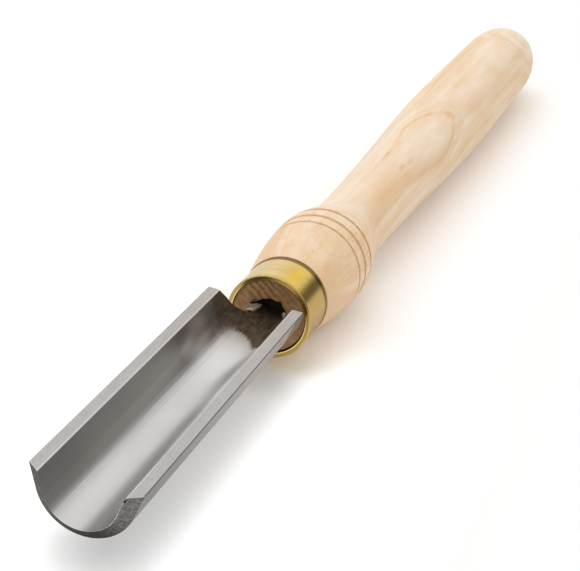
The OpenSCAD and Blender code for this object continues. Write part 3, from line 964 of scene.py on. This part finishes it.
class Turning:
    """The handle's outline about the tool's axis."""

    def __init__(self, sizes, ferrule):
        self.sizes = sizes
        self.collar_x = ferrule.length
        self.tenon = ferrule.diameter / 2 - ferrule.wall - 0.03 * MM
        self.collar = ferrule.diameter / 2 + sizes.collar_step
        self.bulb_x = self.collar_x + sizes.bulb_run
        self.neck_x = self.bulb_x + sizes.neck_run
        self.swell_x = self.neck_x + sizes.swell_run
        self.butt_x = HANDLE_HIGH.x - RIM_X
        self.dome_x = self.butt_x - sizes.dome_length
        first = self.bulb_x - sizes.ring_lead
        self.ring_xs = [first, first + sizes.ring_gap_1, first + sizes.ring_gap_1 + sizes.ring_gap_2]

    def radius(self, x):
        """Radius behind the ferrule, without the scored rings."""
        sizes = self.sizes
        bulb, neck = sizes.bulb_diameter / 2, sizes.neck_diameter / 2
        swell, butt = sizes.swell_diameter / 2, sizes.butt_diameter / 2
        if x < self.bulb_x:
            turned = math.pi / 2 * (x - self.collar_x) / sizes.bulb_run
            return self.collar + (bulb - self.collar) * math.sin(turned)
        if x < self.neck_x:
            return bulb + (neck - bulb) * ease((x - self.bulb_x) / sizes.neck_run)
        if x < self.swell_x:
            return neck + (swell - neck) * ease((x - self.neck_x) / sizes.swell_run)
        if x < self.dome_x:
            return swell + (butt - swell) * ((x - self.swell_x) / (self.dome_x - self.swell_x)) ** 2
        return butt * math.sqrt(max(0, 1 - ((x - self.dome_x) / sizes.dome_length) ** 2))

    def ring_distance(self, x):
        """Distance of x from the nearest scored ring."""
        return min(abs(x - ring) for ring in self.ring_xs)

    def groove(self, x, spread=0.5):
        """How deep the scored rings cut at x, as a share of their depth, over a spread of their width."""
        return ease(max(0, 1 - self.ring_distance(x) / (self.sizes.ring_width * spread)))

    def ring_band(self, x):
        """1 in the band from the first scored ring to the last, and 0 a little way from it."""
        off = max(self.ring_xs[0] - x, x - self.ring_xs[2], 0)
        return ease(max(0, 1 - max(0, off - 0.6 * MM) / (2.4 * MM)))

    def stations(self):
        """x of each circle from the collar to the butt, close together at the scored rings."""
        coarse, fine, steps = 1.6 * MM, 0.11 * MM, 30
        xs, x = [], self.collar_x
        while x < self.dome_x:
            xs.append(x)
            x += fine if self.ring_distance(x) < self.sizes.ring_width else coarse
        return xs + [
            self.dome_x + self.sizes.dome_length * math.sin(math.pi / 2 * i / steps) for i in range(steps)]


HANDLE_SEGMENTS = 200
# The bore's torn mouth above the tang: angle from the top towards the left, and radius in millimetres
MOUTH = (
    (-100, 6.37), (-76, 6.1), (-63, 6.3), (-49, 6.1), (-37, 6.3), (-28, 6.94), (-20, 6.3), (-11, 6.12),
    (2, 6.3), (14, 5.97), (32, 6.1), (47, 6.25), (55, 6.4), (61, 7.5), (67, 7.6), (72, 6.9),
    (90, 7.2), (112, 6.37),
)
MOUTH_LIP = 0.22 * MM
# Circles of the torn mouth: depth behind the end grain in millimetres, and share of the tear
MOUTH_CIRCLES = ((12, 0), (7, 0), (5, 0.1), (3, 0.3), (1.8, 0.6), (0.9, 0.85), (0.35, 1))
# Circles of the end grain, as a share of the way out to the tenon
END_CIRCLES = (0.04, 0.12, 0.25, 0.4, 0.55, 0.7, 0.85, 0.95)
# How much of the scored, end grain and inside finishes each circle before the collar wears; the inside one
# is stain with painted shade
END_MARKS = (
    (0, 1, 1), *((0, 1, min(1, 1.15 - share)) for depth, share in MOUTH_CIRCLES),
    *[(0, 1, 0)] * (len(END_CIRCLES) + 2),
    (0, 0.8, 0.6), (0, 0.8, 1), (0, 0.8, 1), (0, 0.8, 0), (0, 0.6, 0), (0, 0.25, 0),
)


def mouth_radius(sizes, turned):
    """Radius of the bore's broken mouth at an angle from the top, towards the left."""
    around = Vector((math.cos(turned), math.sin(turned), 0))
    fine = noise.noise(around * 9.0 + Vector((0.2, 5.1, 2.2))) + 0.6 * noise.noise(around * 23.0)
    degrees = (math.degrees(turned) + 180) % 360 - 180
    torn = sizes.bore_radius
    for (low, first), (high, second) in zip(MOUTH, MOUTH[1:]):
        if low <= degrees <= high:
            torn = (first + (second - first) * (degrees - low) / (high - low)) * MM
    return torn + sizes.mouth_tear * 0.18 * fine


def wander(a, reach, seed):
    """A soft random value at an angle round the axis."""
    return noise.noise(Vector((math.cos(a) * reach, math.sin(a) * reach, seed)))


def end_profile(sizes, turning, a):
    """(x, radius) of each circle from the bore's bottom to the collar, at an angle from the top."""
    start, tenon, bore, mouth = sizes.end_recess, turning.tenon, sizes.bore_radius, mouth_radius(sizes, a)
    collar_x, collar = turning.collar_x, turning.collar
    # The tenon's front edge stands off the ferrule, widest low on the right
    gap = sizes.tenon_slack * max(0, math.cos(a - math.radians(-140))) ** 1.5
    torn = [(start + depth * MM + 0.3 * MM * share * wander(a, 5, depth), bore + (mouth - bore) * share)
            for depth, share in MOUTH_CIRCLES]
    out = tenon - 0.15 * MM - gap - mouth - MOUTH_LIP
    ends = [(start + 0.10 * MM * wander(a, 3.5, share * 5), mouth + MOUTH_LIP + out * share)
            for share in END_CIRCLES]
    return [
        (sizes.bore_end, bore), *torn,
        (start + 0.1 * MM, mouth + MOUTH_LIP * 0.3), *ends,
        (start + 0.05 * MM, tenon - 0.12 * MM - gap),
        (start + 0.25 * MM, tenon - 0.03 * MM - gap),
        (start + 1.6 * MM, tenon - 0.5 * gap),
        (start + 3.0 * MM, tenon), (collar_x, tenon),
        (collar_x, collar - 0.18 * MM), (collar_x + 0.05 * MM, collar - 0.05 * MM)]


def make_handle(sizes, ferrule):
    """The turned ash handle: bore, torn mouth, end grain, tenon, scored bulb, neck, grip and butt."""
    turning = Turning(sizes, ferrule)
    turns = angles(HANDLE_SEGMENTS)
    circles = list(zip(*[end_profile(sizes, turning, a) for a in turns]))
    marks = list(END_MARKS)
    for x in turning.stations():
        place = x + 0.2 * MM if x == turning.collar_x else x
        radius = turning.radius(place) - sizes.ring_depth * turning.groove(x)
        circles.append([(place, radius)] * HANDLE_SEGMENTS)
        marks.append((turning.groove(x, 0.95), 0, 0))
    points = [(x, r * math.sin(a), r * math.cos(a))
              for circle in circles for (x, r), a in zip(circle, turns)]
    rows = point_rows(HANDLE_SEGMENTS, 0, len(points))
    # The bore's bottom and the butt's tip close on one point each
    faces = tube(rows) + fan(rows[0][::-1], len(points)) + fan(rows[-1], len(points) + 1)
    points += [(sizes.bore_end, 0, 0), (turning.butt_x, 0, 0)]
    marks = [mark for mark in marks for a in turns] + [(0, 1, 1), (0, 0, 0)]
    piece = new_piece("handle_turning", points, faces, "ash", turned_ash(sizes, turning))
    for name, values in zip(("scored", "end_grain", "inside"), zip(*marks)):
        point_attribute(piece, name, "FLOAT", "value", values)
    point_attribute(piece, "near_rings", "FLOAT", "value", [turning.ring_band(x) for x, y, z in points])
    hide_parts("handle")


# Flakes of set adhesive at the mouth: places from the ferrule's rim and the axis, in millimetres
LEFT_FLAKE = (
    (0.45, 9.6, 0.5), (0.4, 8.6, 1.4), (0.45, 6.7, 2.5), (2.0, 5.3, 2.6), (4.5, 3.8, 1.7), (3.0, 4.4, 0.9),
    (1.2, 5.0, 0.8), (-0.1, 5.6, 0.8), (0.2, 6.8, 0.4), (0.3, 8.0, 0.4),
)
RIGHT_FLAKE = (
    (0.7, -5.5, 2.7), (0.9, -4.8, 2.7), (1.4, -4.2, 2.0), (1.2, -4.3, 1.0), (0.6, -4.9, 0.6),
    (0.4, -5.5, 1.3),
)
# Seed of the flakes' ragged rims, which would otherwise follow the clock
FLAKE_SEED = 1795666422


def flake_shell(outline, facing, thick, points, faces):
    """Adds a thin ragged flake, domed towards where it faces and closed behind."""
    facing = Vector(facing).normalized()
    rim = []
    for first, second in zip(outline, shift(outline)):
        for i in range(4):
            spot = Vector(first).lerp(Vector(second), i / 4)
            rim.append(spot + 0.22 * noise.noise_vector(spot * 1.7))
    middle = sum(rim, Vector()) / len(rim)
    area = sum(((a - middle).cross(b - middle) for a, b in zip(rim, shift(rim))), Vector())
    if area.dot(facing) < 0:
        rim.reverse()
    base = list(range(len(points), len(points) + len(rim)))
    points += [tuple(spot * MM) for spot in rim]
    # The front is wound one way, and the flatter back the other way
    for side, order in ((1.0, 1), (-0.4, -1)):
        outer = base
        for share in (0.86, 0.6, 0.3):
            inner = list(range(len(points), len(points) + len(rim)))
            for spot in rim:
                place = middle.lerp(spot, share)
                swell = thick * side * (1 - share ** 4) * (1 + 0.8 * noise.noise(place * 1.4))
                points.append(tuple((place + facing * swell) * MM))
            faces += [face[::order] for face in tube([outer, inner])]
            outer = inner
        faces += fan(outer[::order], len(points))
        points.append(tuple((middle + facing * thick * side) * MM))


def bed_front(channel, settings, y, z):
    """x of the bed's rough front: near the rim round the tang, far down the bore above it."""
    near = 1.1 * MM
    flute = channel.middle - channel.half_wall
    reach = min(abs(y), channel.sizes.tang_width / 2)
    over = z - (channel.centre_z - math.sqrt(flute ** 2 - reach ** 2))
    share = min(1, max(0, over / (1.2 * MM) + 1))
    rough = noise.noise(Vector((y, z, 0)) * 900) * 0.3 * MM
    return near + (settings.mouth_open - near) * share + rough


BED_SEGMENTS = 96
BED_CIRCLES = 14


def make_adhesive(settings, blade, handle):
    """The adhesive round the tang: a bed down the bore and two flakes at its mouth."""
    channel = Channel(blade)
    radius, end = handle.bore_radius - 0.03 * MM, BED_HIGH.x - RIM_X - 0.05 * MM
    turns = angles(BED_SEGMENTS)
    points = [(bed_front(channel, settings, 0, 0), 0, 0)]
    for share in spaced(0, 1, BED_CIRCLES):
        for a in turns:
            y, z = share * radius * math.sin(a), share * radius * math.cos(a)
            points.append((bed_front(channel, settings, y, z), y, z))
    for x in (12 * MM, 40 * MM, end):
        points += [(x, radius * math.sin(a), radius * math.cos(a)) for a in turns]
    rows = point_rows(BED_SEGMENTS, 1, len(points))
    faces = fan(rows[0][::-1], 0) + tube(rows) + fan(rows[-1], len(points))
    points.append((end, 0, 0))
    noise.seed_set(FLAKE_SEED)
    flake_shell(LEFT_FLAKE, (-0.41, -0.75, 0.53), 0.35, points, faces)
    flake_shell(RIGHT_FLAKE, (-0.6, 0.6, 0.5), 0.4, points, faces)
    piece = new_piece("adhesive_bed", points, faces, "adhesive", set_adhesive(settings))
    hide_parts("tang_adhesive")
    return piece


def crumb_tree():
    """Crumbs of random size on a patch of surface."""
    tree = BuildTree("Crumbs", (("Density", "Float"), ("Size", "Float"), ("Seed", "Int")))
    get, take = tree.get, tree.take
    spots = get("GeometryNodeDistributePointsOnFaces", {
        "Mesh": take("Geometry"), "Density": take("Density"), "Seed": take("Seed")})
    ball = get("GeometryNodeMeshIcoSphere", {"Radius": 1.0, "Subdivisions": 1})
    sizes = {2: take("Size") * 0.3, 3: take("Size"), "Seed": take("Seed")}
    size = get("FunctionNodeRandomValue", sizes, 1, data_type="FLOAT")
    set_down = {"Points": spots, "Instance": ball, "Scale": size}
    return tree.finish(get("GeometryNodeInstanceOnPoints", set_down))


def make_crumbs(settings, blade, material):
    """Crumbs of adhesive on the blade's root before the mouth."""
    channel = Channel(blade)
    rows = columns = 12
    front, back = -13 * MM, 1.5 * MM
    points = []
    for x in [front, *spaced(front, back, rows)]:
        width = channel.half_width(x) * 0.72
        for i in range(columns + 1):
            y, z = channel.across(width * (2 * i / columns - 1), -channel.half_wall)
            points.append((x + RIM_X, y, z + AXIS_Z))
    lines = point_rows(columns + 1, 0, len(points))
    faces = [face for low, high in zip(lines, lines[1:]) for face in zip(low, low[1:], high[1:], high)]
    patch = new_mesh("crumb_patch", points, faces)
    area = sum(face.area for face in patch.polygons)
    values = {"Density": settings.crumbs / area, "Size": settings.crumb_size, "Seed": settings.seed,
              "Material": material}
    crumb_tree().build("adhesive_crumbs", values, "adhesive", patch)


def soft_lamp(name, place, aim, size, watts):
    """A rectangular area lamp that looks at a point."""
    data = bpy.data.lights.new(name, "AREA")
    data.shape = "RECTANGLE"
    data.size, data.size_y = size
    data.energy = watts
    lamp = new_object(name, data)
    lamp.location = place
    lamp.rotation_mode = "QUATERNION"
    lamp.rotation_quaternion = (Vector(aim) - Vector(place)).to_track_quat("-Z", "Y")


def make_world(settings):
    """A pale studio, seen white. Lights see a dark gap low on the right, and so do mirrors."""
    world = bpy.data.worlds.new("studio")
    bpy.context.scene.world = world
    world.use_nodes = True
    nodes = Nodes(world.node_tree)
    side, up = nodes.split(nodes.get("ShaderNodeTexCoord", out="Generated"))[1:]
    low = nodes.blend(nodes.rays("Glossy", "Transmission"), settings.low_sky, 1.0)
    gap = up.step(0.03, 0.09) * side.step(-0.30, -0.10, 1, 0)
    strength = nodes.blend(up.step(0.30, 0.36), nodes.blend(gap, low, settings.gap_sky), settings.sky)
    strength = nodes.blend(nodes.rays("Camera", "Transmission"), strength, 1.0)
    background = nodes.get("ShaderNodeBackground", {"Color": (1, 1, 1), "Strength": strength})
    nodes.node("ShaderNodeOutputWorld", {"Surface": background})


def make_floor(settings):
    """A round pale floor under the tool."""
    sides = 96
    points = [(0, 0, 0)]
    for radius in (0.6, 2.0, 8.0, settings.floor_radius):
        points += [(radius * math.cos(a), radius * math.sin(a), 0) for a in angles(sides)]
    rows = point_rows(sides, 1, len(points))
    floor = new_object("floor", new_mesh("floor", points, fan(rows[0], 0) + tube(rows[::-1])))
    floor.data.materials.append(pale_floor(settings))


def make_camera(settings):
    """The camera at the photograph's place."""
    data = bpy.data.cameras.new("camera")
    data.lens = settings.lens
    data.sensor_width = 36
    camera = new_object("camera", data)
    aim, right = Vector(settings.camera_aim), Vector(settings.camera_right)
    turn = Matrix((right, right.cross(aim), -aim)).transposed()
    camera.location = settings.camera_place
    camera.rotation_mode = "QUATERNION"
    camera.rotation_quaternion = turn.to_quaternion()
    bpy.context.scene.camera = camera


class GOUGE_OT_stage(bpy.types.Operator):
    """Sets up the floor, the lamp, the pale studio and the camera"""

    bl_idname = "gouge.stage"
    bl_label = "Stage"

    def execute(self, context):
        settings = context.scene.gouge_stage
        context.scene.view_settings.view_transform = "Standard"
        make_world(settings)
        make_floor(settings)
        make_camera(settings)
        soft_lamp("key", (0.0, 0.16, 1.5), (0, 0, 0), (1.0, 0.8), settings.key)
        return {"FINISHED"}


class GOUGE_OT_blade(bpy.types.Operator):
    """Makes the forged blade with its tang"""

    bl_idname = "gouge.blade"
    bl_label = "Blade"

    def execute(self, context):
        make_blade(context.scene.gouge_blade)
        return {"FINISHED"}


class GOUGE_OT_ferrule(bpy.types.Operator):
    """Makes the brass ferrule"""

    bl_idname = "gouge.ferrule"
    bl_label = "Ferrule"

    def execute(self, context):
        make_ferrule(context.scene.gouge_ferrule)
        return {"FINISHED"}


class GOUGE_OT_handle(bpy.types.Operator):
    """Makes the turned ash handle"""

    bl_idname = "gouge.handle"
    bl_label = "Handle"

    def execute(self, context):
        make_handle(context.scene.gouge_handle, context.scene.gouge_ferrule)
        return {"FINISHED"}


class GOUGE_OT_adhesive(bpy.types.Operator):
    """Makes the set adhesive round the tang, and its crumbs"""

    bl_idname = "gouge.adhesive"
    bl_label = "Adhesive"

    def execute(self, context):
        scene = context.scene
        bed = make_adhesive(scene.gouge_adhesive, scene.gouge_blade, scene.gouge_handle)
        make_crumbs(scene.gouge_adhesive, scene.gouge_blade, bed.data.materials[0])
        return {"FINISHED"}


SETTINGS = {
    "stage": StageSettings,
    "blade": BladeSettings,
    "ferrule": FerruleSettings,
    "handle": HandleSettings,
    "adhesive": AdhesiveSettings,
}


class GOUGE_PT_panel(bpy.types.Panel):
    """Lists the pieces of the gouge and their settings"""

    bl_idname = "GOUGE_PT_panel"
    bl_label = "Spindle Roughing Gouge"
    bl_space_type = "VIEW_3D"
    bl_region_type = "UI"
    bl_category = "Gouge"

    def draw(self, context):
        for step in SETTINGS:
            box = self.layout.box()
            box.operator("gouge." + step)
            settings = getattr(context.scene, "gouge_" + step)
            for name in settings.bl_rna.properties.keys():
                if name not in ("rna_type", "name"):
                    box.prop(settings, name)


OPERATORS = (GOUGE_OT_stage, GOUGE_OT_blade, GOUGE_OT_ferrule, GOUGE_OT_handle, GOUGE_OT_adhesive)
CLASSES = (*SETTINGS.values(), *OPERATORS, GOUGE_PT_panel)


def register():
    for made in CLASSES:
        bpy.utils.register_class(made)
    for step, group in SETTINGS.items():
        setattr(bpy.types.Scene, "gouge_" + step, PointerProperty(type=group))


def unregister():
    for step in SETTINGS:
        delattr(bpy.types.Scene, "gouge_" + step)
    for made in reversed(CLASSES):
        bpy.utils.unregister_class(made)


def main():
    """Makes every piece and the stage."""
    register()
    bpy.ops.gouge.stage()
    bpy.ops.gouge.blade()
    bpy.ops.gouge.ferrule()
    bpy.ops.gouge.handle()
    bpy.ops.gouge.adhesive()


if __name__ == "__main__":
    main()
